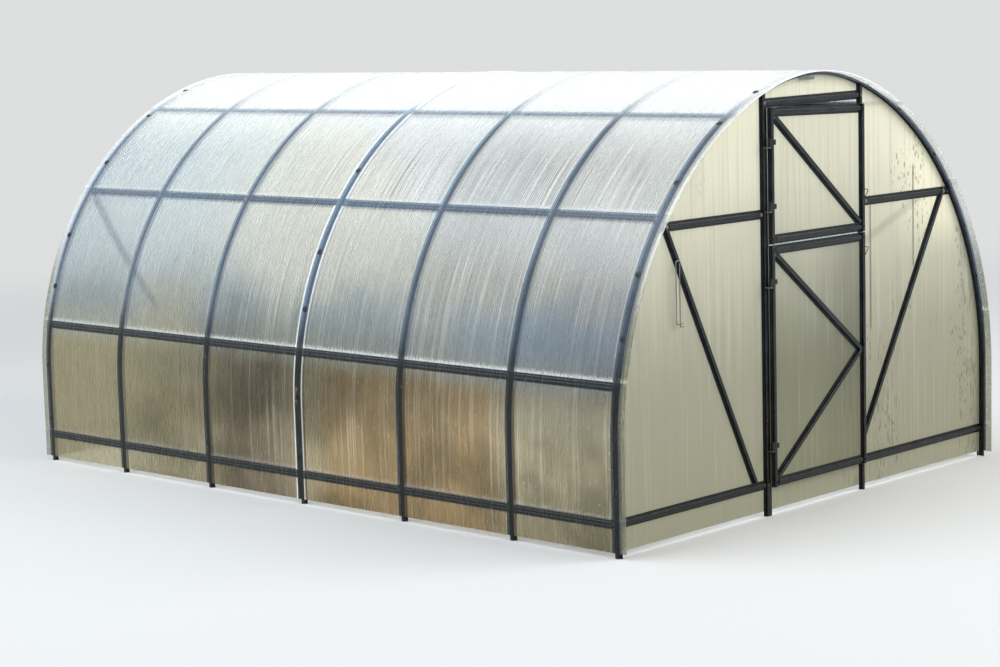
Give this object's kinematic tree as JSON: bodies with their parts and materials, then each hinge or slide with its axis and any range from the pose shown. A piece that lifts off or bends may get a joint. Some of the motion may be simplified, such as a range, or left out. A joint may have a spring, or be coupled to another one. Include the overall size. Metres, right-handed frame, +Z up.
{
  "type": "polycarbonate greenhouse",
  "caption": "Walk-in arched garden greenhouse: bent steel hoops and purlins under translucent twin-wall sheets, with a framed gable and a two-leaf hinged door.",
  "frame": {"origin": "on the ground under the middle of the ridge, at the bottom centre of the bounding box", "axes": "+Z up, +Y along the greenhouse towards its back gable, so that the door gable faces -Y; +X across it, to the right as one stands before the door"},
  "size_m": [2.9592, 4.11, 2.0448],
  "materials": {
    "roof_steel": "zinc-coated folded steel, dull blue-grey with weathered patches",
    "gable_steel": "dark weathered coating on folded steel, brighter along its edges",
    "plain_steel": "plain zinc-coated rod and plate, a little rusty",
    "roof_polycarbonate": "clear twin-wall sheet, milky, with fine flutes along the hoops and dirt towards the ground",
    "gable_polycarbonate": "weathered twin-wall sheet, creamy, with upright flutes and specks of mildew"
  },
  "bodies": {
    "greenhouse": {"back_base_rails": "gable_steel", "back_braces": "gable_steel", "back_gable_sheet": "gable_polycarbonate", "back_hoop": "roof_steel", "back_middle_rails": "gable_steel", "back_posts": "gable_steel", "back_roof_sheet": "roof_polycarbonate", "back_top_rail": "gable_steel", "door_hinge_pins": "plain_steel", "far_base_rail": "roof_steel", "far_high_purlin": "roof_steel", "far_low_purlin": "roof_steel", "far_middle_purlin": "roof_steel", "front_base_rails": "gable_steel", "front_hoop": "roof_steel", "front_left_brace": "gable_steel", "front_left_post": "gable_steel", "front_left_rail": "gable_steel", "front_left_sheet": "gable_polycarbonate", "front_lintel": "gable_steel", "front_right_brace": "gable_steel", "front_right_post": "gable_steel", "front_right_rail": "gable_steel", "front_right_sheet": "gable_polycarbonate", "front_roof_sheet": "roof_polycarbonate", "front_sill_sheet": "gable_polycarbonate", "front_top_sheet": "gable_polycarbonate", "hoop_2": "roof_steel", "hoop_3": "roof_steel", "hoop_4": "roof_steel", "hoop_5": "roof_steel", "hoop_6": "roof_steel", "near_base_rail": "roof_steel", "near_high_purlin": "roof_steel", "near_low_purlin": "roof_steel", "near_middle_purlin": "roof_steel", "ridge_purlin": "roof_steel", "wind_hook": "plain_steel"},
    "upper_leaf": {"upper_leaf_brace": "gable_steel", "upper_leaf_frame": "gable_steel", "upper_leaf_sheet": "gable_polycarbonate"},
    "lower_leaf": {"lower_leaf_braces": "gable_steel", "lower_leaf_frame": "gable_steel", "lower_leaf_sheet": "gable_polycarbonate"}
  },
  "joints": [
    {"name": "upper_leaf_hinge", "type": "hinge", "parent": "greenhouse", "child": "upper_leaf", "pos_m": [-0.385, -2.0335, 1.582], "axis": [0, 0, -1], "range_deg": [0, 160]},
    {"name": "lower_leaf_hinge", "type": "hinge", "parent": "greenhouse", "child": "lower_leaf", "pos_m": [-0.385, -2.0335, 0.71], "axis": [0, 0, -1], "range_deg": [0, 170]}
  ]
}
